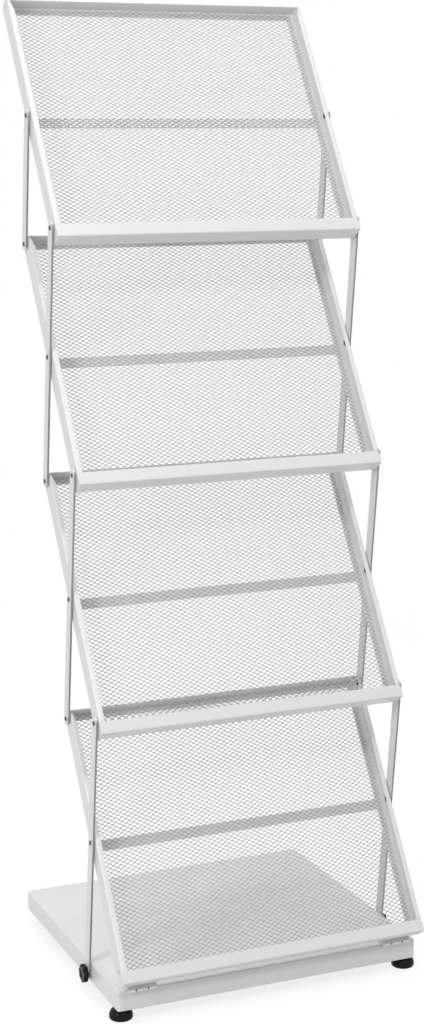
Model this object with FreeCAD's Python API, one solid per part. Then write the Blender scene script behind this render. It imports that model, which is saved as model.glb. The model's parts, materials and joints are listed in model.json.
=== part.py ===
import FreeCAD, Part
import math
import os

# Folding display rack: four leaning mesh trays on a zig-zag of flat side bars, hinged to a low sheet-metal base.
# Millimetres and degrees. +X is to the right, +Y to the rear, +Z up, and the floor is z = 0.
# The rack is laid out with y = 0 at the front of its base, and is moved at the end to centre its depth on y = 0.

# ---- linkage --------------------------------------------------------------------------------------------------
tray_count = 4
rivet_pitch = 186.5          # rivet to rivet, along a tray side and along a side bar
tray_lean = 32.16            # trays lean back from the vertical when the rack is open
bar_lean = 7.91              # bars lean from the vertical when the rack is open
stack_pitch = 33.0           # tray to tray when the rack is folded flat

# ---- trays: s runs down the tray from its upper rivets, n runs out of its front ----------------------------------
tray_width = 476.0
sheet = 1.2
bend = 1.4                   # inside radius
tray_front = 13.0
tray_back = -16.0
top_edge = -11.0
bottom_edge = 393.7
front_flange = 8.0
back_flange = 13.0
flange_taper_end = 12.0      # the front flange is full width below this
flange_taper_start = -5.0    # and gone above this
top_corner_radius = 8.0
top_rail_front = 5.0
top_rail_flange = 12.0
lip_top = 375.8
lip_top_front = 15.8
lip_bottom_front = 12.4
lip_back_flange = 12.0
lip_corner_width = 3.5
lip_corner_height = 6.0
tab_length = 23.5            # rail tab folded under the tray floor
tab_back = -9.0
tab_front = 8.5
tab_slant = 11.0             # how much shorter the tab is at its back
strap_top = 182.0
strap_height = 16.0

# ---- mesh: two crossing layers of strands in an edge strip ---------------------------------------------------------
mesh_width = 463.0
mesh_top = -7.5
mesh_bottom = 388.5
mesh_edge = 3.0
mesh_layer = 0.9
mesh_layer_gap = 0.2
mesh_pitch_across = 21.6
mesh_pitch_down = 13.14
mesh_strand = 1.6

# ---- side bars and rivets --------------------------------------------------------------------------------------------
bar_width = 18.0
bar_thickness = 3.0
washer_thickness = 1.0
washer_radius = 6.5
rivet_radius = 2.4
rivet_head_radius = 3.5
rivet_head_height = 1.8
rivet_tail_radius = 3.4
rivet_tail_height = 1.4
running_gap = 0.05           # radial, round a turning rivet, pin or screw
sliding_gap = 0.1            # between faces that slide on each other

# ---- base ------------------------------------------------------------------------------------------------------------
base_depth = 425.0
base_height = 29.0
base_sheet = 1.5
base_corner = 5.0
base_bend = 1.5              # inside radius of the upper edge
base_clearance = 18.0        # floor to the lower edge of the base
plate_leg = 60.0
plate_notch = 20.0
plate_thickness = 2.0

# ---- feet ------------------------------------------------------------------------------------------------------------
foot_radius = 17.3
foot_edge = 2.0
foot_side_top = 7.0          # the dome starts here,
foot_dome_radius = 13.8      # is this wide at half its height,
foot_dome_middle = 13.2
foot_neck_radius = 7.0       # and ends in the neck
foot_neck_height = 1.3
foot_gap = 0.3               # foot to the lower edge of the base
foot_from_end = 18.0
front_foot_from_side = 11.0
rear_foot_from_side = 30.0   # further in, clear of the lock bars as they swing down
foot_stud_radius = 4.0
foot_stud_bottom = 8.0
foot_stud_proud = 4.0
foot_nut_flats = 13.0
foot_nut_height = 6.5

# ---- lock knobs ------------------------------------------------------------------------------------------------------
lock_drop = 18.2             # lock screws below the top of the base
knob_radius = 14.0
knob_flutes = 7
knob_flute_radius = 3.2
knob_flute_depth = 2.0
knob_grip = 7.0
knob_edge = 1.5
knob_hub_radius = 8.0
knob_hub_height = 1.0
knob_stud_radius = 3.0
knob_stud_grip = 5.0
knob_stud_proud = 2.0
knob_washer_radius = 8.0
knob_nut_flats = 10.0
knob_nut_height = 5.0
notch_gap = 0.4

# ---- butt hinges -----------------------------------------------------------------------------------------------------
hinge_length = 44.0
hinge_from_side = 35.0       # middle of a hinge to the side of its tray
hinge_leaf = 17.0            # from the pin
hinge_sheet = 1.0
hinge_pin_radius = 1.0
hinge_middle_knuckle = 18.4
hinge_end_gap = 0.3
hinge_leaf_gap = 0.4         # between a leaf and the other leaf's knuckles
hinge_out = 5.4              # pin in front of the base
hinge_drop = 6.0             # pin below the tray floor, along the tray

# ---- worked out from the sizes above -----------------------------------------------------------------------------------
half_width = tray_width / 2
half_base = half_width       # the base is as wide as the trays, so that the bars lie flat against both
hinge_from_middle = half_width - hinge_from_side
wall_inside = half_width - sheet
bar_inside = half_width + washer_thickness + sliding_gap
bar_outside = bar_inside + bar_thickness
knob_inside = half_base + washer_thickness + bar_thickness + 2 * sliding_gap
mesh_thickness = 2 * mesh_layer + mesh_layer_gap
base_top = base_clearance + base_height
knuckle_radius = hinge_pin_radius + hinge_sheet

right = FreeCAD.Vector(1, 0, 0)
rear = FreeCAD.Vector(0, 1, 0)
up = FreeCAD.Vector(0, 0, 1)
origin = FreeCAD.Vector(0, 0, 0)

# ---- how the rack folds ---------------------------------------------------------------------------------------------
tray_travel = 90.0 - tray_lean
folded_angle = 180.0 - math.degrees(math.asin(stack_pitch / rivet_pitch))
bar_travel = folded_angle - tray_lean - bar_lean
fold_ratio = bar_travel / tray_travel


def downward(angle):
    """Unit vector straight down, tipped to the rear by the angle."""
    return FreeCAD.Vector(0, math.sin(math.radians(angle)), -math.cos(math.radians(angle)))


def tray_down(fold=0.0):
    return downward(-tray_lean - fold)


def tray_out(fold=0.0):
    return tray_down(fold).cross(right)


def bar_down(fold=0.0):
    return downward(bar_lean + (fold_ratio - 1.0) * fold)


def bar_out(fold=0.0):
    return bar_down(fold).cross(right)


hinge_pin = FreeCAD.Vector(0, -hinge_out, base_top + knuckle_radius)
hinge_s = bottom_edge + hinge_drop
hinge_n = tray_back - knuckle_radius


def upper_rivet(tray, fold=0.0):
    """Axis of a tray's upper rivets. Trays are counted from 1 at the top."""
    lowest = hinge_pin - tray_down(fold) * hinge_s - tray_out(fold) * hinge_n
    step = (tray_down(fold) + bar_down(fold)) * rivet_pitch
    return lowest - step * (tray_count - tray)


def middle_rivet(tray, fold=0.0):
    return upper_rivet(tray, fold) + tray_down(fold) * rivet_pitch


def lower_rivet(tray, fold=0.0):
    return upper_rivet(tray, fold) + tray_down(fold) * (2 * rivet_pitch)


lock_reach = (middle_rivet(tray_count).z - base_top + lock_drop) / -bar_down().z
lock_point = middle_rivet(tray_count) + bar_down() * lock_reach


# ---- shape helpers -----------------------------------------------------------------------------------------------------
def rounded_face(corners):
    """Flat face in the XY plane through (x, y, corner radius), in order."""
    points = [FreeCAD.Vector(x, y, 0) for x, y, radius in corners]
    arcs = []
    for i, (x, y, radius) in enumerate(corners):
        back = (points[i - 1] - points[i]).normalize()
        ahead = (points[(i + 1) % len(points)] - points[i]).normalize()
        half_angle = back.getAngle(ahead) / 2
        reach = radius / math.tan(half_angle)
        middle = points[i]
        if radius:
            middle = points[i] + (back + ahead).normalize() * (radius / math.sin(half_angle) - radius)
        arcs.append((points[i] + back * reach, middle, points[i] + ahead * reach))
    edges = []
    for i, (start, middle, end) in enumerate(arcs):
        if corners[i][2]:
            edges.append(Part.Arc(start, middle, end).toShape())
        following = arcs[(i + 1) % len(arcs)][0]
        if (following - end).Length > 1e-6:
            edges.append(Part.LineSegment(end, following).toShape())
    return Part.Face(Part.Wire(edges))


def polygon_face(points):
    return rounded_face([(x, y, 0.0) for x, y in points])


def bent_sheet(path, thickness=sheet, radius=bend):
    """Section of bent sheet: the path is one skin, and the metal lies to its left."""
    points = [FreeCAD.Vector(x, y, 0) for x, y in path]
    headings = [(b - a).normalize() for a, b in zip(points, points[1:])]
    lefts = [up.cross(heading) for heading in headings]
    near = [(points[0], 0.0)]
    far = [(points[0] + lefts[0] * thickness, 0.0)]
    for i in range(1, len(points) - 1):
        across = (lefts[i - 1] + lefts[i]).normalize()
        corner = points[i] + across * (thickness / across.dot(lefts[i]))
        turns_left = headings[i - 1].cross(headings[i]).z > 0
        near.append((points[i], radius + thickness if turns_left else radius))
        far.append((corner, radius if turns_left else radius + thickness))
    near.append((points[-1], 0.0))
    far.append((points[-1] + lefts[-1] * thickness, 0.0))
    return rounded_face([(point.x, point.y, corner) for point, corner in near + far[::-1]])


def box(low, high):
    size = [b - a for a, b in zip(low, high)]
    return Part.makeBox(size[0], size[1], size[2], FreeCAD.Vector(*low))


def turned(profile, centre, axis=right):
    """Solid of revolution about an axis through the centre, from (distance along the axis, radius, corner)."""
    side = up if axis != up else right
    face = rounded_face(profile)
    face.transformShape(FreeCAD.Placement(origin, FreeCAD.Rotation(axis, side, axis.cross(side))).toMatrix())
    solid = face.revolve(origin, axis, 360)
    solid.translate(centre)
    return solid


def nut(flats, height, bore, centre, axis):
    """Hexagon nut that stands on the centre and rises along the axis."""
    reach = flats / 2 / math.cos(math.radians(30))
    rim = [(reach * math.cos(math.radians(60 * i)), reach * math.sin(math.radians(60 * i))) for i in range(6)]
    solid = polygon_face(rim).extrude(up * height).cut(Part.makeCylinder(bore, height))
    solid.Placement = FreeCAD.Placement(centre, FreeCAD.Rotation(up, axis))
    return solid


def washer(radius, bore, thickness, centre):
    return Part.makeCylinder(radius, thickness, centre, right).cut(
        Part.makeCylinder(bore, thickness, centre, right))


def mirrored(shape):
    return shape.mirror(origin, right)


def on_side(shape, side):
    return mirrored(shape) if side == "left" else shape


def both_sides(shapes):
    return Part.makeCompound([mirrored(shape) for shape in shapes] + list(shapes))


def across(face, low, high):
    """Extrudes a section drawn in (n, s) along X, in tray axes (X, n, s)."""
    solid = face.extrude(up * (high - low))
    solid.rotate(origin, FreeCAD.Vector(1, 1, 1), 120)
    solid.translate(right * low)
    return solid


def outward(face, low, high):
    """Extrudes a section drawn in (X, s) along n, in tray axes (X, n, s)."""
    solid = face.extrude(up * (high - low))
    solid.rotate(origin, right, 90)
    solid.translate(rear * high)
    return solid


def on_tray(shape, tray):
    """Moves a piece from tray axes (X, n, s) to its tray."""
    placed = shape.copy()
    placed.rotate(origin, right, 180.0 - tray_lean)
    placed.translate(upper_rivet(tray))
    return placed


def on_bar(shape, tray):
    """Moves a piece from bar axes (X, front, down from the middle rivet) to its bar."""
    placed = shape.copy()
    placed.rotate(origin, right, 180.0 + bar_lean)
    placed.translate(middle_rivet(tray))
    return placed


# ---- trays -------------------------------------------------------------------------------------------------------------
def lip_back_face(s):
    """How far out the back of the sloping front lip lies at a height s."""
    slope = (lip_top_front - lip_bottom_front) / (bottom_edge - lip_top)
    return lip_top_front - slope * (s - lip_top) - sheet * math.hypot(1.0, slope)


def side_rail():
    """Right side rail: a channel with a tapering front flange and a tab folded under the tray floor."""
    channel = bent_sheet([(half_width - back_flange, tray_back), (half_width, tray_back),
                          (half_width, tray_front), (half_width - front_flange, tray_front)])
    rail = channel.extrude(up * (bottom_edge - top_edge))
    rail.translate(up * top_edge)

    deep_end = flange_taper_end + 2 * sheet
    outline = rounded_face([(tray_back, top_edge, top_corner_radius), (top_rail_front, top_edge, bend),
                            (tray_front, flange_taper_start, bend), (tray_front, deep_end, 0.0),
                            (tray_back, deep_end, 0.0)])
    end_block = box((0, tray_back - 1, top_edge - 1), (half_width + 1, tray_front + 1, deep_end))
    rail = rail.cut(end_block.cut(across(outline, 0, half_width + 1)))
    flange_tip = half_width - front_flange
    taper = polygon_face([(flange_tip - 1, flange_taper_end), (flange_tip, flange_taper_end),
                          (wall_inside - bend, flange_taper_start), (wall_inside - bend, top_edge - 1),
                          (flange_tip - 1, top_edge - 1)])
    rail = rail.cut(outward(taper, tray_front - sheet - bend, tray_front + 1))

    back_skin = tray_back + sheet + bend
    rail = rail.cut(box((0, tray_back - 1, top_edge - 1), (wall_inside, back_skin, top_edge + top_rail_flange)))
    rail = rail.cut(box((0, tray_back - 1, bottom_edge - lip_back_flange), (wall_inside, back_skin, bottom_edge)))
    floor_top = bottom_edge - sheet
    lip_side = polygon_face([(lip_back_face(lip_top - sheet), lip_top - sheet),
                             (lip_back_face(floor_top - bend), floor_top - bend),
                             (lip_back_face(floor_top) - bend, floor_top),
                             (lip_back_face(floor_top) - bend, bottom_edge), (lip_top_front + 1, bottom_edge),
                             (lip_top_front + 1, lip_top - sheet)])
    rail = rail.cut(across(lip_side, 0, half_width + 1))

    tab = bent_sheet([(half_width, bottom_edge - 2 * bend), (half_width, bottom_edge + sheet),
                      (half_width - tab_length, bottom_edge + sheet)])
    slant = Part.Face(Part.makePolygon([
        FreeCAD.Vector(half_width - tab_length, tab_front, 0), FreeCAD.Vector(half_width, tab_front, 0),
        FreeCAD.Vector(half_width, tab_back, 0), FreeCAD.Vector(half_width - tab_length + tab_slant, tab_back, 0),
        FreeCAD.Vector(half_width - tab_length, tab_front, 0)]))
    slant.translate(up * (bottom_edge - 2 * bend))
    tab = outward(tab, tab_back, tab_front).common(slant.extrude(up * (2 * bend + sheet)))
    rail = rail.cut(box((wall_inside - bend, tab_back, bottom_edge - 2 * bend),
                        (half_width, tab_front, bottom_edge))).fuse(tab).removeSplitter()
    for s in (0.0, rivet_pitch, 2 * rivet_pitch):
        rail = rail.cut(Part.makeCylinder(rivet_radius, 2 * sheet, FreeCAD.Vector(wall_inside, 0, s), right))
    return rail


def top_rail():
    """Angle across the top of a tray, between its side rails."""
    section = bent_sheet([(tray_back, top_edge + top_rail_flange), (tray_back, top_edge),
                          (top_rail_front, top_edge)])
    return across(section, -wall_inside, wall_inside)


def lip():
    """Tray floor with its back flange and the sloping front lip, which covers the ends of the side rails."""
    section = bent_sheet([(lip_top_front, lip_top), (lip_bottom_front, bottom_edge),
                          (tray_back, bottom_edge), (tray_back, bottom_edge - lip_back_flange)])
    shape = across(section, -half_width, half_width)
    face_start = lip_back_face(bottom_edge - sheet) - bend
    for side in (-1, 1):
        floor_end, outside = sorted((side * (wall_inside - bend), side * (half_width + 1)))
        shape = shape.cut(box((floor_end, tray_back - 1, lip_top - 1), (outside, face_start, bottom_edge + 1)))
        corner = polygon_face([(side * half_width, lip_top), (side * (half_width - lip_corner_width), lip_top),
                               (side * half_width, lip_top + lip_corner_height)])
        shape = shape.cut(outward(corner, face_start, lip_top_front + 1))
    return shape


def strap():
    """Flat cross strap behind the mesh, between the back flanges."""
    reach = half_width - back_flange
    return box((-reach, tray_back, strap_top), (reach, tray_back + sheet, strap_top + strap_height))


def clipped(points, bounds):
    """Part of a convex polygon inside (low x, low y, high x, high y)."""
    for axis, limit, keep in ((0, bounds[0], 1), (1, bounds[1], 1), (0, bounds[2], -1), (1, bounds[3], -1)):
        kept = []
        for start, end in zip(points, points[1:] + points[:1]):
            start_in = keep * (start[axis] - limit) > 0
            end_in = keep * (end[axis] - limit) > 0
            if start_in:
                kept.append(start)
            if start_in != end_in:
                part = (limit - start[axis]) / (end[axis] - start[axis])
                kept.append((start[0] + part * (end[0] - start[0]), start[1] + part * (end[1] - start[1])))
        points = kept
    return points


def polygon_wire(points):
    corners = [FreeCAD.Vector(x, y, 0) for x, y in points]
    return Part.makePolygon(corners + corners[:1])


def strand_layer(lean):
    """Sheet with slanting slots, which leaves one direction of mesh strands inside an edge strip."""
    reach = mesh_width / 2
    inner = (-reach + mesh_edge, mesh_top + mesh_edge, reach - mesh_edge, mesh_bottom - mesh_edge)
    rim = polygon_wire([(-reach, mesh_top), (reach, mesh_top), (reach, mesh_bottom), (-reach, mesh_bottom)])
    run = lean * mesh_pitch_across / mesh_pitch_down
    across_strand = mesh_strand * math.hypot(1.0, mesh_pitch_across / mesh_pitch_down)
    height = inner[3] - inner[1]
    count = math.ceil((reach + abs(run) * height) / mesh_pitch_across)
    slots = []
    for i in range(-count, count + 1):
        left = i * mesh_pitch_across + across_strand / 2 - run * height / 2
        right_end = left + mesh_pitch_across - across_strand
        slot = clipped([(left, inner[1]), (right_end, inner[1]), (right_end + run * height, inner[3]),
                        (left + run * height, inner[3])], inner)
        if len(slot) > 2:
            slots.append(polygon_wire(slot))
    face = Part.makeFace(Part.makeCompound([rim] + slots), "Part::FaceMakerBullseye")
    return face


def mesh():
    """Mesh panel that lies on the back flanges of its tray."""
    reach = mesh_width / 2
    back = tray_back + sheet
    middle = back + mesh_layer
    ring = box((-reach, middle, mesh_top), (reach, middle + mesh_layer_gap, mesh_bottom)).cut(
        box((-reach + mesh_edge, middle, mesh_top + mesh_edge),
            (reach - mesh_edge, middle + mesh_layer_gap, mesh_bottom - mesh_edge)))
    lower = outward(strand_layer(1.0), back, middle)
    upper = outward(strand_layer(-1.0), middle + mesh_layer_gap, back + mesh_thickness)
    return lower.fuse([ring, upper]).removeSplitter()


# ---- side bars and rivets ----------------------------------------------------------------------------------------------
def rivet_places(tray):
    """Where bars are riveted to a tray, as distances down its sides."""
    places = [rivet_pitch]
    if tray > 1:
        places.append(0.0)
    if tray < tray_count:
        places.append(2 * rivet_pitch)
    return places


def rivet(s):
    head_start = bar_outside + sliding_gap
    profile = [(wall_inside - rivet_tail_height, 0.0, 0.0),
               (wall_inside - rivet_tail_height, rivet_radius, 0.0),
               (wall_inside, rivet_tail_radius, 0.0), (wall_inside, rivet_radius, 0.0),
               (head_start, rivet_radius, 0.0), (head_start, rivet_head_radius, 0.0),
               (head_start + rivet_head_height, rivet_radius, 0.0),
               (head_start + rivet_head_height, 0.0, 0.0)]
    return turned(profile, FreeCAD.Vector(0, 0, s))


def bar(top, bottom, bores):
    """Right side bar in bar axes, from one end rivet to the other, with rounded ends."""
    outline = rounded_face([(-bar_width / 2, top - bar_width / 2, bar_width / 2),
                            (bar_width / 2, top - bar_width / 2, bar_width / 2),
                            (bar_width / 2, bottom + bar_width / 2, bar_width / 2),
                            (-bar_width / 2, bottom + bar_width / 2, bar_width / 2)])
    shape = across(outline, bar_inside, bar_outside)
    for down in bores:
        shape = shape.cut(Part.makeCylinder(rivet_radius + running_gap, bar_thickness,
                                            FreeCAD.Vector(bar_inside, 0, down), right))
    return shape


def lock_bar():
    """Lowest bar, with an open notch at its lower end that swings off the lock screw as the rack folds."""
    shape = bar(-rivet_pitch, lock_reach, (-rivet_pitch, 0.0))
    bore = knob_stud_radius + notch_gap
    leaving = 1.5
    stud = lock_point - middle_rivet(tray_count, leaving)
    path = FreeCAD.Vector(0, stud.dot(bar_out(leaving)), stud.dot(bar_down(leaving)) - lock_reach)
    mouth = Part.makeBox(bar_thickness, bar_width, 2 * bore, FreeCAD.Vector(0, 0, -bore))
    mouth.rotate(origin, right, math.degrees(math.atan2(path.z, path.y)))
    mouth.translate(FreeCAD.Vector(bar_inside, 0, lock_reach))
    return shape.cut(mouth).cut(Part.makeCylinder(bore, bar_thickness,
                                                  FreeCAD.Vector(bar_inside, 0, lock_reach), right))


def side_bar(tray):
    if tray == 1:
        return bar(0.0, rivet_pitch, (0.0, rivet_pitch))
    if tray == tray_count:
        return lock_bar()
    return bar(-rivet_pitch, rivet_pitch, (-rivet_pitch, 0.0, rivet_pitch))


# ---- base --------------------------------------------------------------------------------------------------------------
def rounded_block(inset, top_bend):
    """Block in the place of the base, smaller by the inset on its sides and top, with a rounded upper edge."""
    outline = rounded_face([(x, y, base_corner - inset) for x, y in (
        (inset - half_base, inset), (half_base - inset, inset),
        (half_base - inset, base_depth - inset), (inset - half_base, base_depth - inset))])
    outline.translate(up * base_clearance)
    block = outline.extrude(up * (base_height - inset))
    upper = [edge for edge in block.Edges if edge.BoundBox.ZMin > base_top - inset - 0.01]
    return block.makeFillet(top_bend, upper)


def base_pan():
    """Deep-drawn base, open underneath, with a hole in each side for the lock screw."""
    pan = rounded_block(0.0, base_bend + base_sheet).cut(rounded_block(base_sheet, base_bend))
    for side in (-1, 1):
        start = FreeCAD.Vector(side * (half_base - 2 * base_sheet), lock_point.y, lock_point.z)
        pan = pan.cut(Part.makeCylinder(knob_stud_radius + running_gap, 4 * base_sheet, start, right * side))
    return pan


def foot_place(side, end):
    """Centre of a foot on the floor."""
    from_middle = half_base - (front_foot_from_side if end == "front" else rear_foot_from_side)
    y = foot_from_end if end == "front" else base_depth - foot_from_end
    return FreeCAD.Vector(-from_middle if side == "left" else from_middle, y, 0)


def corner_plate(side, end):
    """Gusset plate welded inside a lower corner of the base, which holds a foot."""
    wall = half_base - base_sheet
    outline = rounded_face([(wall, 0, base_corner), (wall, plate_leg, 0.0), (wall - plate_notch, plate_leg, 0.0),
                            (wall - plate_leg, plate_notch, 0.0), (wall - plate_leg, 0, 0.0)])
    plate = outline.extrude(up * plate_thickness)
    plate = plate if end == "front" else plate.mirror(origin, rear)
    plate.translate(FreeCAD.Vector(0, base_sheet if end == "front" else base_depth - base_sheet, base_clearance))
    place = foot_place(side, end)
    return on_side(plate, side).cut(Part.makeCylinder(foot_stud_radius + running_gap, base_top, place))


def foot_nut(side, end):
    seat = foot_place(side, end) + up * (base_clearance + plate_thickness)
    return nut(foot_nut_flats, foot_nut_height, foot_stud_radius + running_gap, seat, up)


def foot_pad(side, end):
    """Domed levelling foot with a short neck and a bore for its stud."""
    top = base_clearance - foot_gap
    shoulder = top - foot_neck_height
    profile = [(0.0, 0.0, 0.0), (0.0, foot_radius - foot_edge, 0.0), (foot_edge, foot_radius, 0.0),
               (foot_side_top, foot_radius, 0.0), (foot_dome_middle, foot_dome_radius, 0.0),
               (shoulder, foot_neck_radius, 0.0), (top, foot_neck_radius, 0.0), (top, foot_stud_radius, 0.0),
               (foot_stud_bottom, foot_stud_radius, 0.0), (foot_stud_bottom, 0.0, 0.0)]
    return turned(profile, foot_place(side, end), up)


def foot_stud(side, end):
    top = base_clearance + plate_thickness + foot_nut_height + foot_stud_proud
    place = foot_place(side, end) + up * foot_stud_bottom
    return Part.makeCylinder(foot_stud_radius, top - foot_stud_bottom, place)


# ---- lock knobs --------------------------------------------------------------------------------------------------------
def knob_head():
    """Right knob: a hub and a fluted grip with rounded edges, bored for its stud."""
    hub_end = knob_inside + knob_hub_height
    grip_end = hub_end + knob_grip
    bore_end = hub_end + knob_stud_grip
    profile = [(knob_inside, knob_stud_radius, 0.0), (knob_inside, knob_hub_radius, 0.0),
               (hub_end, knob_hub_radius, 0.0), (hub_end, knob_radius, 0.0),
               (grip_end - knob_edge, knob_radius, 0.0), (grip_end, knob_radius - knob_edge, 0.0),
               (grip_end, 0.0, 0.0), (bore_end, 0.0, 0.0), (bore_end, knob_stud_radius, 0.0)]
    head = turned(profile, lock_point)
    out = knob_radius + knob_flute_radius - knob_flute_depth
    for i in range(knob_flutes):
        turn = 2 * math.pi * (i + 0.5) / knob_flutes
        centre = lock_point + FreeCAD.Vector(hub_end, out * math.sin(turn), out * math.cos(turn))
        head = head.cut(Part.makeCylinder(knob_flute_radius, knob_grip, centre, right))
    return head


def knob_stud():
    start = half_base - base_sheet - knob_nut_height - knob_stud_proud
    end = knob_inside + knob_hub_height + knob_stud_grip
    return Part.makeCylinder(knob_stud_radius, end - start, lock_point + right * start, right)


def knob_nut():
    seat = lock_point + right * (half_base - base_sheet - knob_nut_height)
    return nut(knob_nut_flats, knob_nut_height, knob_stud_radius + running_gap, seat, right)


# ---- hinges ------------------------------------------------------------------------------------------------------------
def knuckle_spans(middle):
    """Where the middle knuckle, or the two end knuckles, of a hinge lie along X."""
    half_middle = hinge_middle_knuckle / 2
    if middle:
        return [(hinge_from_middle - half_middle, hinge_from_middle + half_middle)]
    inner = half_middle + hinge_end_gap
    return [(hinge_from_middle - hinge_length / 2, hinge_from_middle - inner),
            (hinge_from_middle + inner, hinge_from_middle + hinge_length / 2)]


def hinge_half(leaf, pin, bore, middle):
    """Leaf with its knuckles round the pin, cut away round the other leaf's knuckles."""
    for start, end in knuckle_spans(not middle):
        room = Part.makeCylinder(knuckle_radius + hinge_leaf_gap, end - start + 2 * hinge_end_gap,
                                 pin + right * (start - hinge_end_gap), right)
        leaf = leaf.cut(room)
    for start, end in knuckle_spans(middle):
        leaf = leaf.fuse(Part.makeCylinder(knuckle_radius, end - start, pin + right * start, right))
    through = pin + right * (hinge_from_middle - hinge_length)
    return leaf.cut(Part.makeCylinder(bore, 2 * hinge_length, through, right)).removeSplitter()


def base_hinge_half():
    """Right hinge leaf on the base, with the middle knuckle."""
    low = (hinge_from_middle - hinge_length / 2, hinge_pin.y, base_top)
    high = (hinge_from_middle + hinge_length / 2, hinge_pin.y + hinge_leaf, base_top + hinge_sheet)
    return hinge_half(box(low, high), hinge_pin, hinge_pin_radius, True)


def tray_hinge_half():
    """Right hinge leaf on the back of the lowest tray, with the end knuckles, in tray axes."""
    low = (hinge_from_middle - hinge_length / 2, tray_back - hinge_sheet, hinge_s - hinge_leaf)
    high = (hinge_from_middle + hinge_length / 2, tray_back, hinge_s)
    return hinge_half(box(low, high), FreeCAD.Vector(0, hinge_n, hinge_s), hinge_pin_radius + running_gap, False)


def hinge_pin_piece():
    return Part.makeCylinder(hinge_pin_radius, hinge_length,
                             hinge_pin + right * (hinge_from_middle - hinge_length / 2), right)


# ---- assembly ----------------------------------------------------------------------------------------------------------
def tray_nodes():
    """Pieces of the four trays, by node name."""
    nodes = {}
    rail = side_rail()
    shared = {"top_rail": top_rail(), "lip": lip(), "strap": strap(), "mesh": mesh()}
    for tray in range(1, tray_count + 1):
        name = f"tray_{tray}_"
        for side in ("left", "right"):
            nodes[f"{name}{side}_rail"] = on_tray(on_side(rail, side), tray)
        for piece, shape in shared.items():
            nodes[name + piece] = on_tray(shape, tray)
        places = rivet_places(tray)
        rings = [washer(washer_radius, rivet_radius, washer_thickness, FreeCAD.Vector(half_width, 0, s))
                 for s in places]
        nodes[name + "rivets"] = on_tray(both_sides([rivet(s) for s in places]), tray)
        nodes[name + "washers"] = on_tray(both_sides(rings), tray)
    return nodes


def bar_nodes():
    nodes = {}
    for tray in range(1, tray_count + 1):
        for side in ("left", "right"):
            nodes[f"bar_{tray}_{side}"] = on_bar(on_side(side_bar(tray), side), tray)
    return nodes


def base_nodes():
    """Pieces that stay with the base."""
    corners = [(side, end) for end in ("front", "rear") for side in ("left", "right")]
    lock_seat = lock_point + right * half_base
    nodes = {
        "base_pan": base_pan(),
        "corner_plates": Part.makeCompound([corner_plate(side, end) for side, end in corners]),
        "foot_nuts": Part.makeCompound([foot_nut(side, end) for side, end in corners]),
        "knob_nuts": both_sides([knob_nut()]),
        "knob_washers": both_sides([washer(knob_washer_radius, knob_stud_radius + running_gap,
                                           washer_thickness, lock_seat)]),
        "hinge_base_leaves": both_sides([base_hinge_half()]),
        "hinge_pins": both_sides([hinge_pin_piece()]),
        "hinge_tray_leaves": on_tray(both_sides([tray_hinge_half()]), tray_count),
    }
    for side, end in corners:
        nodes[f"foot_pad_{end}_{side}"] = foot_pad(side, end)
        nodes[f"foot_stud_{end}_{side}"] = foot_stud(side, end)
    for side in ("left", "right"):
        nodes[f"knob_head_{side}"] = on_side(knob_head(), side)
        nodes[f"knob_stud_{side}"] = on_side(knob_stud(), side)
    return nodes


all_nodes = {**tray_nodes(), **bar_nodes(), **base_nodes()}
extent = Part.makeCompound(list(all_nodes.values())).optimalBoundingBox(False, False)
centring = FreeCAD.Vector(0, -(extent.YMin + extent.YMax) / 2, 0)

os.makedirs("parts", exist_ok=True)
for node, shape in all_nodes.items():
    shape.translate(centring)
    shape.exportStep(f"parts/{node}.step")
print(len(all_nodes), "nodes, centring", round(centring.y, 3), "size", round(extent.XLength, 2),
      round(extent.YLength, 2), round(extent.ZMin, 3), round(extent.ZMax, 2))
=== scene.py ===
import json
import math

import bpy
import numpy as np
from mathutils import Matrix, Vector

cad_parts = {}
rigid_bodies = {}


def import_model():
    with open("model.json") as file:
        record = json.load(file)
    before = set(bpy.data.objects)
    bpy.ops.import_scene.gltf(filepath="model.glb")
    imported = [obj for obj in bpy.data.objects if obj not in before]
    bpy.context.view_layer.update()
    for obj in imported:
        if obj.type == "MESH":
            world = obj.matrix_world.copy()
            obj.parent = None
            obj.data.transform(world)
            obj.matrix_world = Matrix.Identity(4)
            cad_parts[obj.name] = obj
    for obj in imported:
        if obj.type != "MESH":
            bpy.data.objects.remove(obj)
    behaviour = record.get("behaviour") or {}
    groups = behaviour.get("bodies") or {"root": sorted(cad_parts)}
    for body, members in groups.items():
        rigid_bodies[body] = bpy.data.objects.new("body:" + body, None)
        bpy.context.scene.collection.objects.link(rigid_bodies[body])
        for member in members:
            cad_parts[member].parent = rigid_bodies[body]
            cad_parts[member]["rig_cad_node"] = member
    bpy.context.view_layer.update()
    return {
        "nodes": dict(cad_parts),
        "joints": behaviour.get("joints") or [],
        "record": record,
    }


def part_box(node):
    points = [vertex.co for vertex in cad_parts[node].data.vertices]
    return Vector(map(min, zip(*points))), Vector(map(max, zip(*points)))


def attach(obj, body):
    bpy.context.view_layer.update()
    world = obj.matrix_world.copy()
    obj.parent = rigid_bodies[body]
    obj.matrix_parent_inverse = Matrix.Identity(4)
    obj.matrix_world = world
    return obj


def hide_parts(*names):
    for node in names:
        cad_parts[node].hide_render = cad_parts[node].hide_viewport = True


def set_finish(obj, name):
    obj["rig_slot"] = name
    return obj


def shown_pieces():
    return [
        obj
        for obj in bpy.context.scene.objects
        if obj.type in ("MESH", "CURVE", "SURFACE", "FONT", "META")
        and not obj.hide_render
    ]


# Folding display rack: four leaning mesh trays on side bars over a low base. Metres, +X right, +Y to the rear, +Z up.

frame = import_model()
cadNodes = frame["nodes"]
nodeSlots = {row["node"]: row["material_slot"] for row in frame["record"]["subparts"]}
pivots = {joint["name"]: np.array(joint["pos_m"]) for joint in frame["joints"]}


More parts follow.
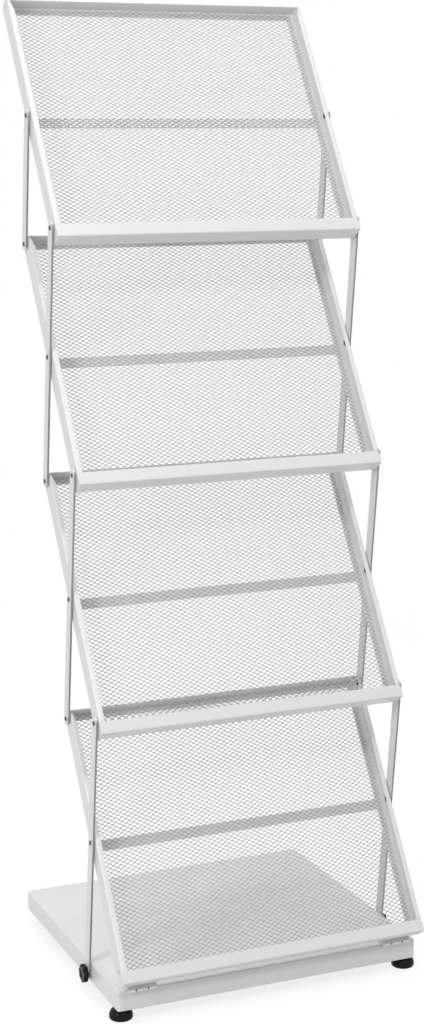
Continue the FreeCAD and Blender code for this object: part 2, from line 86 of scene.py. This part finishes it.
view = {
    "aside": -1.0953,        # from the middle of the base
    "before": 2.4026,        # in front of the base
    "above": 1.1528,         # over the top of the base
    "turn": -22.711,
    "tip": -10.573,
    "roll": 0.467,
    "focal": 1.87919,        # in picture heights
    "sensor": 24.0,
    "shift": (0.00176, 0.00824),
    "nearest": 0.05,
    "furthest": 60.0,
}


def makeCamera():
    baseLow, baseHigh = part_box("base_pan")
    lens = bpy.data.cameras.new("studioCamera")
    lens.sensor_fit = "VERTICAL"
    lens.sensor_height = view["sensor"]
    lens.lens = view["focal"] * view["sensor"]
    lens.shift_x, lens.shift_y = view["shift"]
    lens.clip_start, lens.clip_end = view["nearest"], view["furthest"]
    camera = bpy.data.objects.new("studioCamera", lens)
    turn = Matrix.Rotation(math.radians(view["turn"]), 4, "Z")
    tip = Matrix.Rotation(math.radians(90.0 + view["tip"]), 4, "X")
    roll = Matrix.Rotation(math.radians(-view["roll"]), 4, "Z")
    place = Vector((view["aside"], baseLow.y - view["before"], baseHigh.z + view["above"]))
    camera.matrix_world = Matrix.Translation(place) @ turn @ tip @ roll
    bpy.context.scene.collection.objects.link(camera)
    bpy.context.scene.camera = camera


makeCamera()
print("camera placed")


def shellMesh(name, points, smooth=True):
    # A block of shells. Each is a run of rings, joined ring to ring, closed round each ring and capped at both ends.
    shells, along, around = points.shape[:3]
    index = np.arange(shells * along * around).reshape(shells, along, around)
    near, far = index[:, :-1], index[:, 1:]
    sides = np.stack([near, np.roll(near, -1, 2), np.roll(far, -1, 2), far], -1).reshape(-1, 4)
    caps = np.concatenate([index[:, 0, ::-1], index[:, -1]])
    corners = np.concatenate([sides.ravel(), caps.ravel()])
    starts = np.concatenate([np.arange(len(sides)) * 4, sides.size + np.arange(len(caps)) * around])
    mesh = bpy.data.meshes.new(name)
    mesh.vertices.add(index.size)
    mesh.vertices.foreach_set("co", np.ascontiguousarray(points, np.float32).ravel())
    mesh.loops.add(len(corners))
    mesh.loops.foreach_set("vertex_index", corners.astype(np.int32))
    mesh.polygons.add(len(starts))
    mesh.polygons.foreach_set("loop_start", starts.astype(np.int32))
    isSmooth = np.zeros(len(starts), bool)
    isSmooth[:len(sides)] = smooth
    mesh.polygons.foreach_set("use_smooth", isSmooth)
    mesh.update(calc_edges=True)
    return mesh


def addPiece(name, mesh, body, slot, standsFor):
    piece = bpy.data.objects.new(name, mesh)
    bpy.context.scene.collection.objects.link(piece)
    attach(piece, body)
    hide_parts(*standsFor)
    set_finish(piece, slot)
    return piece


def turnedRings(heights, radii, around, axis, centre):
    # Surface of revolution: at each height along the axis, a ring of that radius about the centre.
    isUpright = abs(axis[2]) > 0.5
    side = np.array([1.0, 0.0, 0.0]) if isUpright else np.array([0.0, 0.0, 1.0])
    other = np.cross(axis, side)
    angle = np.linspace(0.0, 2 * np.pi, around, endpoint=False)
    ring = np.cos(angle)[:, None] * side + np.sin(angle)[:, None] * other
    return centre + heights[:, None, None] * axis + radii[:, None, None] * ring


trayCount = 4
rightward = np.array([1.0, 0.0, 0.0])
upward = np.array([0.0, 0.0, 1.0])


def flat(point):
    # The same point in the middle plane of the rack.
    return point * np.array([0.0, 1.0, 1.0])


middlePivots = {k: flat(pivots[f"bar_{k}_left_pivot"]) for k in range(1, trayCount + 1)}
pivotStep = flat(pivots["tray_1_pivot"]) - middlePivots[1]      # from rivet to rivet, down a tray side
trayDown = pivotStep / np.linalg.norm(pivotStep)
trayOut = np.cross(trayDown, rightward)


def onTray(tray, x, n, s):
    # From a tray's own axes: x across, n out of its front, s down its sides from the upper rivets.
    start = middlePivots[tray] - pivotStep
    return start + x[..., None] * rightward + n[..., None] * trayOut + s[..., None] * trayDown


meshPanel = {
    "halfWidth": 0.2315,
    "top": -0.0075,
    "bottom": 0.3885,
    "middle": -0.0137,       # of its depth
    "strandsAcross": 86,
    "bands": 121,
    "strandWidth": 0.00100,
    "strandDepth": 0.00062,
    "tilt": -15.0,           # of the strands, out of the sheet
    "knuckle": 0.0021,
}


def expandedMesh(tray):
    # The sheet is a stack of zig-zag bands. Each band steps between its upper and lower row of knuckles, where it
    # meets its neighbours edge to edge, and carries a leaning rectangle from side to side.
    p = meshPanel
    knuckles = np.arange(p["strandsAcross"] + 1)
    pitchAcross = 2 * p["halfWidth"] / p["strandsAcross"]
    pitchDown = (p["bottom"] - p["top"]) / p["bands"]
    lean = math.radians(p["tilt"])
    half = p["strandWidth"] / 2
    ends = np.array([-0.5, 0.5]) * p["knuckle"]
    x = (-p["halfWidth"] + knuckles[:, None] * pitchAcross + ends).ravel().clip(-p["halfWidth"], p["halfWidth"])
    atKnuckle = np.repeat(knuckles, 2)
    band = np.arange(p["bands"])
    isUpper = (atKnuckle[None, :] + band[:, None]) % 2 == 0
    topRow = p["top"] + band[:, None] * pitchDown
    s = np.where(isUpper, topRow + half * math.cos(lean), topRow + pitchDown - half * math.cos(lean))
    n = p["middle"] + np.where(isUpper, half, -half) * math.sin(lean)
    wide = np.array([1.0, 1.0, -1.0, -1.0]) * half
    deep = np.array([-1.0, 1.0, 1.0, -1.0]) * p["strandDepth"] / 2
    n = n[..., None] + wide * math.sin(lean) + deep * math.cos(lean)
    s = s[..., None] + wide * math.cos(lean) - deep * math.sin(lean)
    x = np.broadcast_to(x[None, :, None], s.shape)
    return shellMesh(f"meshPanel{tray}", onTray(tray, x, n, s), smooth=False)


meshPieces = [addPiece(f"meshPanel{tray}", expandedMesh(tray), f"tray_{tray}", "mesh_coat", [f"tray_{tray}_mesh"])
              for tray in range(1, trayCount + 1)]
print("mesh panels:", len(meshPieces), "of", len(meshPieces[0].data.polygons), "faces")


rivetShape = {
    "railSheet": 0.0012,
    "shankRadius": 0.0024,
    "tailRadius": 0.0046,
    "tailHeight": 0.0018,
    "headRadius": 0.0035,
    "headHeight": 0.0018,
    "around": 28,
    "domeSteps": 7,
    "domeTurn": 0.46 * np.pi,    # just short of the axis
}


def domeProfile(radius, height):
    # Quarter ellipse from the rim up to just off the axis.
    angle = np.linspace(0.0, rivetShape["domeTurn"], rivetShape["domeSteps"])
    return height * np.sin(angle), radius * np.cos(angle)


def rivets(tray):
    # Each rivet is a surface of revolution about X: rolled tail inside the rail, shank, domed head outside the bar.
    p = rivetShape
    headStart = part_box(f"tray_{tray}_rivets")[1].x - p["headHeight"]
    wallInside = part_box(f"tray_{tray}_right_rail")[1].x - p["railSheet"]
    rise, head = domeProfile(p["headRadius"], p["headHeight"])
    sink, tail = domeProfile(p["tailRadius"], p["tailHeight"])
    heights = np.concatenate([(wallInside - sink)[::-1], [wallInside, headStart], headStart + rise])
    radii = np.concatenate([tail[::-1], [p["shankRadius"], p["shankRadius"]], head])
    places = [middlePivots[tray]]
    if tray > 1:
        places.append(middlePivots[tray] - pivotStep)
    if tray < trayCount:
        places.append(middlePivots[tray] + pivotStep)
    shells = [turnedRings(heights, radii, p["around"], rightward * side, place)
              for place in places for side in (-1.0, 1.0)]
    return shellMesh(f"rivets{tray}", np.array(shells))


for tray in range(1, trayCount + 1):
    addPiece(f"rivets{tray}", rivets(tray), f"tray_{tray}", "rivet_steel", [f"tray_{tray}_rivets"])
print("rivets set")


knobShape = {
    "radius": 0.0140,
    "hubRadius": 0.0080,
    "hubHeight": 0.0010,
    "thick": 0.0080,
    "flutes": 7,
    "fluteDepth": 0.0032,
    "fluteSharpness": 1.4,
    "fluteFade": 1.5,            # from the rim to the middle of the face
    "edge": 0.0019,
    "edgeSteps": 6,
    "dish": 0.0007,
    "dishRadius": 0.0078,
    "dishWall": 0.0008,
    "centreRadius": 0.0004,
    "around": 126,
}


def knob(side):
    # Rings about X from the hub to the face. The rim is scalloped: its radius dips by a rounded flute seven times
    # round, and the dip fades towards the hub and the middle of the face.
    p = knobShape
    low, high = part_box(f"knob_head_{side}")
    outward = -1.0 if side == "left" else 1.0
    start = high.x if side == "left" else low.x
    lock = flat(pivots[f"knob_{side}_turn"])
    turn = np.linspace(0.0, np.pi / 2, p["edgeSteps"])
    edgeRise = p["edge"] * (1 - np.cos(turn))
    edgeRadius = p["radius"] - p["edge"] * (1 - np.sin(turn))
    dishFloor = p["thick"] - p["dish"]
    heights = np.concatenate([[0.0, p["hubHeight"]], p["hubHeight"] + edgeRise, p["thick"] - edgeRise[::-1],
                              [p["thick"], dishFloor, dishFloor]])
    across = np.concatenate([[p["hubRadius"], p["hubRadius"]], edgeRadius, edgeRadius[::-1],
                             [p["dishRadius"], p["dishRadius"] - p["dishWall"], p["centreRadius"]]])
    angle = np.linspace(0.0, 2 * np.pi, p["around"], endpoint=False)
    flute = (0.5 + 0.5 * np.cos(p["flutes"] * angle)) ** p["fluteSharpness"]
    share = np.clip((across - p["dishRadius"]) / (p["radius"] - p["dishRadius"]), 0.0, 1.0) ** p["fluteFade"]
    radii = across[:, None] - p["fluteDepth"] * share[:, None] * flute[None, :]
    rearward = np.array([0.0, -outward, 0.0])
    ring = np.cos(angle)[:, None] * upward + np.sin(angle)[:, None] * rearward
    points = lock + start * rightward + (outward * heights)[:, None, None] * rightward + radii[..., None] * ring
    return shellMesh(f"lockKnob_{side}", points[None])


for side in ("left", "right"):
    addPiece(f"lockKnob_{side}", knob(side), f"knob_{side}", "knob_black", [f"knob_head_{side}"])
print("lock knobs made")


footShape = {
    "radius": 0.0173,
    "soleRadius": 0.0146,
    "soleMiddle": 0.002,
    "lip": 0.0034,               # height at which the sole is full width
    "sideTop": 0.0044,
    "neckRadius": 0.0070,
    "shoulder": 0.0163,
    "bellFullness": 0.9,
    "top": 0.0177,
    "turnSteps": 12,
    "around": 72,
}


def foot(place):
    # Surface of revolution: a sole that rounds out to a short upright rim, a bell that closes in like a quarter
    # ellipse and a neck under the base.
    p = footShape
    low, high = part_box(f"foot_pad_{place}")
    centre = np.array([(low.x + high.x) / 2, (low.y + high.y) / 2, 0.0])
    turn = np.linspace(0.0, np.pi / 2, p["turnSteps"])
    soleRise = p["lip"] * (1.0 - np.cos(turn))
    soleRadius = p["soleRadius"] + (p["radius"] - p["soleRadius"]) * np.sin(turn)
    bellRise = p["sideTop"] + (p["shoulder"] - p["sideTop"]) * np.sin(turn)
    bellRadius = p["neckRadius"] + (p["radius"] - p["neckRadius"]) * np.cos(turn) ** p["bellFullness"]
    heights = np.concatenate([[0.0], soleRise, bellRise, [p["top"]]])
    radii = np.concatenate([[p["soleMiddle"]], soleRadius, bellRadius, [p["neckRadius"]]])
    return shellMesh(f"foot_{place}", turnedRings(heights, radii, p["around"], upward, centre)[None])


for place in ("front_left", "front_right", "rear_left", "rear_right"):
    addPiece(f"foot_{place}", foot(place), f"foot_{place}", "foot_black", [f"foot_pad_{place}"])
print("feet made")


def addNode(tree, kind, inputs=None, **settings):
    # An input given as another node's output is linked, and anything else is set on the socket.
    made = tree.nodes.new(kind)
    for key, value in settings.items():
        setattr(made, key, value)
    for key, value in (inputs or {}).items():
        if isinstance(value, bpy.types.NodeSocket):
            tree.links.new(value, made.inputs[key])
        else:
            made.inputs[key].default_value = value
    return made


def newFinish(name):
    finish = bpy.data.materials.new(name)
    finish.use_nodes = True
    finish.node_tree.nodes.clear()
    return finish, finish.node_tree


def objectPlace(tree):
    return addNode(tree, "ShaderNodeTexCoord").outputs["Object"]


def reckon(tree, operation, *values):
    return addNode(tree, "ShaderNodeMath", dict(enumerate(values)), operation=operation).outputs[0]


def spread(tree, value, fromRange=(0.0, 1.0), toRange=(0.0, 1.0), **settings):
    # Carries a value from one range to another, held at both ends.
    inputs = {"Value": value, "From Min": fromRange[0], "From Max": fromRange[1], "To Min": toRange[0],
              "To Max": toRange[1]}
    return addNode(tree, "ShaderNodeMapRange", inputs, **settings).outputs["Result"]


def blend(tree, share, first, second):
    # Mixes two colours by a share. Each is three numbers or a node's output.
    colours = [colour + (1.0,) if isinstance(colour, tuple) else colour for colour in (first, second)]
    return addNode(tree, "ShaderNodeMix", {0: share, 6: colours[0], 7: colours[1]}, data_type="RGBA").outputs[2]


def noise(tree, place, scale, detail=2.0):
    return addNode(tree, "ShaderNodeTexNoise", {"Vector": place, "Scale": scale, "Detail": detail}).outputs["Fac"]


noiseReach = (0.15, 0.85)        # the part of the noise's range that is used


def grain(tree, place, scale, detail, low=0.0, high=1.0):
    # Noise over the object, spread between a low and a high value.
    return spread(tree, noise(tree, place, scale, detail), noiseReach, (low, high), interpolation_type="SMOOTHSTEP")


def giveSurface(tree, inputs):
    shader = addNode(tree, "ShaderNodeBsdfPrincipled", inputs)
    addNode(tree, "ShaderNodeOutputMaterial", {"Surface": shader.outputs["BSDF"]})


coat = {
    "colour": (0.78, 0.78, 0.785),
    "shade": (0.70, 0.70, 0.705),
    "drift": 0.15,
    "driftScale": 4.0,
    "speckle": 0.25,
    "speckleScale": 1900.0,
    "detail": 1.0,               # octaves of each of these noises
    "edge": 0.0004,
    "edgeSamples": 6,
    "peelScale": 750.0,
    "peelDepth": 0.00002,
    "roughness": (0.30, 0.38),
    "roughnessScale": 12.0,
    "shine": 0.5,
}


def powderCoat(name, look):
    # Baked powder paint: slow drift of tone, fine speckle, orange peel, and a thinner coat over rounded edges.
    finish, tree = newFinish(name)
    place = objectPlace(tree)
    drift = grain(tree, place, look["driftScale"], look["detail"], low=1.0 - look["drift"])
    speckle = grain(tree, place, look["speckleScale"], look["detail"], low=1.0 - look["speckle"])
    tone = reckon(tree, "MULTIPLY", drift, speckle)
    bevel = addNode(tree, "ShaderNodeBevel", {"Radius": look["edge"]}, samples=look["edgeSamples"])
    bump = addNode(tree, "ShaderNodeBump", {"Height": noise(tree, place, look["peelScale"]), "Strength": 1.0,
                                            "Distance": look["peelDepth"], "Normal": bevel.outputs["Normal"]})
    giveSurface(tree, {"Base Color": blend(tree, tone, look["shade"], look["colour"]),
                       "Roughness": grain(tree, place, look["roughnessScale"], look["detail"], *look["roughness"]),
                       "Specular IOR Level": look["shine"], "Normal": bump.outputs["Normal"]})
    return finish


barLook = {
    **coat,
    # Painted shade: the long edges facing front or rear are mixed towards this dark grey.
    "edgeShadeColour": (0.30, 0.30, 0.31),
    "offFace": (0.9, 0.3),       # sideways part of the normal, from pale to dark
    "onEdge": (0.6, 0.95),       # part of it to the front or rear, from pale to dark
}


def barCoat(name, look):
    # As the powder coat, but the long edges that face the front or rear get painted shade, a dark grey chosen by the
    # direction the surface faces, and the rounded ends stay pale.
    finish, tree = newFinish(name)
    place = objectPlace(tree)
    facing = addNode(tree, "ShaderNodeSeparateXYZ", {0: addNode(tree, "ShaderNodeTexCoord").outputs["Normal"]})
    speckle = grain(tree, place, look["speckleScale"], look["detail"])
    paint = blend(tree, speckle, look["shade"], look["colour"])
    flank = reckon(tree, "ABSOLUTE", facing.outputs["X"])
    ahead = reckon(tree, "ABSOLUTE", facing.outputs["Y"])
    # How much painted shade each point gets, from the direction its surface faces.
    share = reckon(tree, "MULTIPLY", spread(tree, flank, look["offFace"]), spread(tree, ahead, look["onEdge"]))
    giveSurface(tree, {"Base Color": blend(tree, share, paint, look["edgeShadeColour"]),
                       "Roughness": grain(tree, place, look["roughnessScale"], look["detail"], *look["roughness"]),
                       "Specular IOR Level": look["shine"]})
    return finish


hingeLook = {
    # Painted highlight: the barrels are a brighter white than the frame's coat.
    "colour": (0.95, 0.95, 0.955),
    # Painted shade: the leaves are darker than the frame's coat, and the seams between knuckles are near black.
    "leafShadeColour": (0.62, 0.62, 0.625),
    "seamShadeColour": (0.03, 0.03, 0.032),
    "halfLength": 0.022,         # of one hinge
    "seam": 0.0094,              # from the middle of the hinge
    "seamWidth": 0.0018,
    "barrel": 0.0021,
    "barrelFade": 0.0003,
    "roughness": (0.20, 0.30),
    "roughnessScale": 300.0,
    "detail": 1.0,
    "shine": 0.5,
}


def hingeCoat(name, look):
    # A painted highlight makes the barrels brighter than the frame's coat, painted shade darkens the leaves, and
    # near-black painted seams stand for the shaded gaps where one knuckle meets the next.
    finish, tree = newFinish(name)
    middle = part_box("hinge_base_leaves")[1].x - look["halfLength"]
    pin = pivots["fold"]
    place = objectPlace(tree)
    across = addNode(tree, "ShaderNodeSeparateXYZ", {0: place}).outputs["X"]
    fromMiddle = reckon(tree, "SUBTRACT", reckon(tree, "ABSOLUTE", across), middle)
    fromSeam = reckon(tree, "SUBTRACT", reckon(tree, "ABSOLUTE", fromMiddle), look["seam"])
    # Painted shade on the seams between knuckles.
    onSeamShade = reckon(tree, "LESS_THAN", reckon(tree, "ABSOLUTE", fromSeam), look["seamWidth"] / 2)
    fromPin = addNode(tree, "ShaderNodeVectorMath", {0: place, 1: (0.0, pin[1], pin[2])}, operation="SUBTRACT")
    sideways = addNode(tree, "ShaderNodeVectorMath", {0: fromPin.outputs[0], 1: (0.0, 1.0, 1.0)},
                       operation="MULTIPLY")
    distance = addNode(tree, "ShaderNodeVectorMath", {0: sideways.outputs[0]}, operation="LENGTH").outputs["Value"]
    # Painted shade on the leaves, outside the barrel's radius.
    onShadedLeaf = spread(tree, distance, (look["barrel"], look["barrel"] + look["barrelFade"]))
    barrel = blend(tree, onSeamShade, look["colour"], look["seamShadeColour"])
    giveSurface(tree, {"Base Color": blend(tree, onShadedLeaf, barrel, look["leafShadeColour"]),
                       "Roughness": grain(tree, place, look["roughnessScale"], look["detail"], *look["roughness"]),
                       "Specular IOR Level": look["shine"]})
    return finish


plastic = {
    "toneScale": 300.0,
    "roughnessScale": 120.0,
    "detail": 2.0,
    "fineScale": 2600.0,
    "fineDepth": 0.00001,
}


def mouldedPlastic(name, look):
    # Injection-moulded plastic: even body colour, a fine grain and a soft shine.
    finish, tree = newFinish(name)
    place = objectPlace(tree)
    tone = grain(tree, place, look["toneScale"], look["detail"])
    bump = addNode(tree, "ShaderNodeBump", {"Height": noise(tree, place, look["fineScale"]), "Strength": 1.0,
                                            "Distance": look["fineDepth"]})
    giveSurface(tree, {"Base Color": blend(tree, tone, look["colour"], look["worn"]),
                       "Roughness": grain(tree, place, look["roughnessScale"], look["detail"], *look["roughness"]),
                       "Specular IOR Level": look["shine"], "Normal": bump.outputs["Normal"]})
    return finish


steel = {
    "toneScale": 700.0,
    "toneDetail": 3.0,
    "roughnessScale": 900.0,
    "detail": 2.0,
}


def plainMetal(name, look):
    # Bare or blackened steel with a fine uneven tone.
    finish, tree = newFinish(name)
    place = objectPlace(tree)
    tone = grain(tree, place, look["toneScale"], look["toneDetail"])
    giveSurface(tree, {"Base Color": blend(tree, tone, look["colour"], look["worn"]), "Metallic": 1.0,
                       "Roughness": grain(tree, place, look["roughnessScale"], look["detail"], *look["roughness"])})
    return finish


finishes = {
    "tray_coat": powderCoat("trayCoat", coat),
    # Painted shade: the mesh is given a darker grey than the rest of the coat so its strands read as shaded.
    "mesh_coat": powderCoat("meshCoatPaintedShade", {**coat, "colour": (0.47, 0.47, 0.475), "shade": (0.41, 0.41, 0.415),
                                         "edge": 0.0001}),
    "bar_coat": barCoat("barCoat", barLook),
    "base_coat": powderCoat("baseCoat", {**coat, "roughness": (0.31, 0.35)}),
    "hinge_coat": hingeCoat("hingeCoat", hingeLook),
    # The rivets' near-black steel is partly their own dark tone and partly painted shade, standing in for the shaded
    # holes round the rivet tails inside the right rails.
    "rivet_steel": plainMetal("rivetSteel", {**steel, "colour": (0.07, 0.07, 0.072), "worn": (0.12, 0.12, 0.122),
                                             "roughness": (0.30, 0.42)}),
    "washer_white": mouldedPlastic("washerNylon", {**plastic, "colour": (0.72, 0.72, 0.70),
                                                   "worn": (0.66, 0.66, 0.64), "roughness": (0.40, 0.50),
                                                   "shine": 0.4}),
    "fastener_steel": plainMetal("fastenerSteel", {**steel, "colour": (0.52, 0.52, 0.53),
                                                   "worn": (0.62, 0.62, 0.62), "roughness": (0.28, 0.40)}),
    "foot_black": mouldedPlastic("footPlastic", {**plastic, "colour": (0.006, 0.006, 0.007),
                                                 "worn": (0.011, 0.011, 0.012), "roughness": (0.26, 0.36),
                                                 "shine": 0.12}),
    "knob_black": mouldedPlastic("knobPlastic", {**plastic, "colour": (0.008, 0.008, 0.009),
                                                 "worn": (0.014, 0.014, 0.015), "roughness": (0.30, 0.40),
                                                 "shine": 0.14}),
}


def dress():
    for name, piece in cadNodes.items():
        piece.data.materials.clear()
        piece.data.materials.append(finishes[nodeSlots[name]])
    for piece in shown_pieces():
        if "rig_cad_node" not in piece:
            piece.data.materials.append(finishes[piece["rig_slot"]])


dress()
print("finishes given")


studio = {
    "floorReach": 14.0,
    "floorBounce": (0.80, 0.80, 0.80),
    "floorSeen": (0.20, 0.20, 0.20),
    "floorGlow": 0.82,
    "fadeFrom": 0.9,             # from the middle of the rack
    "fadeTo": 2.4,
    "airLevel": 0.22,
    "lamps": {
        "overLamp": {"place": (0.0, -0.9, 5.0), "aim": (0.0, -0.1, 0.0), "size": (4.4, 3.6), "power": 112.0},
        "leftLamp": {"place": (-3.0, -1.5, 2.0), "aim": (0.0, 0.0, 0.7), "size": (1.0, 1.0), "power": 47.0},
        "frontLamp": {"place": (0.0, -2.8, 3.2), "aim": (0.0, 0.0, 0.8), "size": (0.5, 0.5), "power": 32.0},
        "backLamp": {"place": (0.0, 2.6, 2.8), "aim": (0.0, 0.0, 0.7), "size": (2.4, 1.4), "power": 44.0},
    },
}


def rayMask(tree):
    # 1 for rays from the lens, or mirrored or passed on by a surface, and 0 for rays that light the object.
    path = addNode(tree, "ShaderNodeLightPath")
    seen = reckon(tree, "MAXIMUM", path.outputs["Is Camera Ray"], path.outputs["Is Glossy Ray"])
    return reckon(tree, "MAXIMUM", seen, path.outputs["Is Transmission Ray"])


def mixShaders(tree, share, first, second):
    return addNode(tree, "ShaderNodeMixShader", {0: share, 1: first.outputs[0], 2: second.outputs[0]})


def makeFloor():
    # A pale floor that throws light back at the rack, shows a faint shadow and turns to plain white further out.
    reach = studio["floorReach"]
    mesh = bpy.data.meshes.new("studioFloor")
    mesh.from_pydata([(-reach, -reach, 0), (reach, -reach, 0), (reach, reach, 0), (-reach, reach, 0)], [],
                     [(0, 1, 2, 3)])
    floor = bpy.data.objects.new("studioFloor", mesh)
    bpy.context.scene.collection.objects.link(floor)
    finish, tree = newFinish("floorPaper")
    distance = addNode(tree, "ShaderNodeVectorMath", {0: objectPlace(tree)}, operation="LENGTH").outputs["Value"]
    away = spread(tree, distance, (studio["fadeFrom"], studio["fadeTo"]))
    bounce = addNode(tree, "ShaderNodeBsdfDiffuse", {"Color": studio["floorBounce"] + (1.0,)})
    paper = addNode(tree, "ShaderNodeBsdfDiffuse", {"Color": studio["floorSeen"] + (1.0,)})
    glow = addNode(tree, "ShaderNodeEmission", {"Strength": studio["floorGlow"]})
    near = addNode(tree, "ShaderNodeAddShader", {0: paper.outputs[0], 1: glow.outputs[0]})
    white = addNode(tree, "ShaderNodeEmission", {"Strength": 1.0})
    surface = mixShaders(tree, rayMask(tree), bounce, mixShaders(tree, away, near, white))
    addNode(tree, "ShaderNodeOutputMaterial", {"Surface": surface.outputs[0]})
    mesh.materials.append(finish)


def makeAir():
    # Plain white to the lens, and a low even light on the rack.
    world = bpy.data.worlds.new("studioAir")
    world.use_nodes = True
    tree = world.node_tree
    tree.nodes.clear()
    level = spread(tree, rayMask(tree), toRange=(studio["airLevel"], 1.0))
    air = addNode(tree, "ShaderNodeBackground", {"Color": (1.0, 1.0, 1.0, 1.0), "Strength": level})
    addNode(tree, "ShaderNodeOutputWorld", {"Surface": air.outputs[0]})
    bpy.context.scene.world = world


def makeLamps():
    for name, lamp in studio["lamps"].items():
        light = bpy.data.lights.new(name, "AREA")
        light.shape = "RECTANGLE"
        light.size, light.size_y = lamp["size"]
        light.energy = lamp["power"]
        holder = bpy.data.objects.new(name, light)
        holder.location = lamp["place"]
        aim = Vector(lamp["aim"]) - Vector(lamp["place"])
        holder.rotation_euler = aim.to_track_quat("-Z", "Y").to_euler()
        bpy.context.scene.collection.objects.link(holder)


makeFloor()
makeAir()
makeLamps()
bpy.context.scene.view_settings.view_transform = "Standard"
print("stage lit")
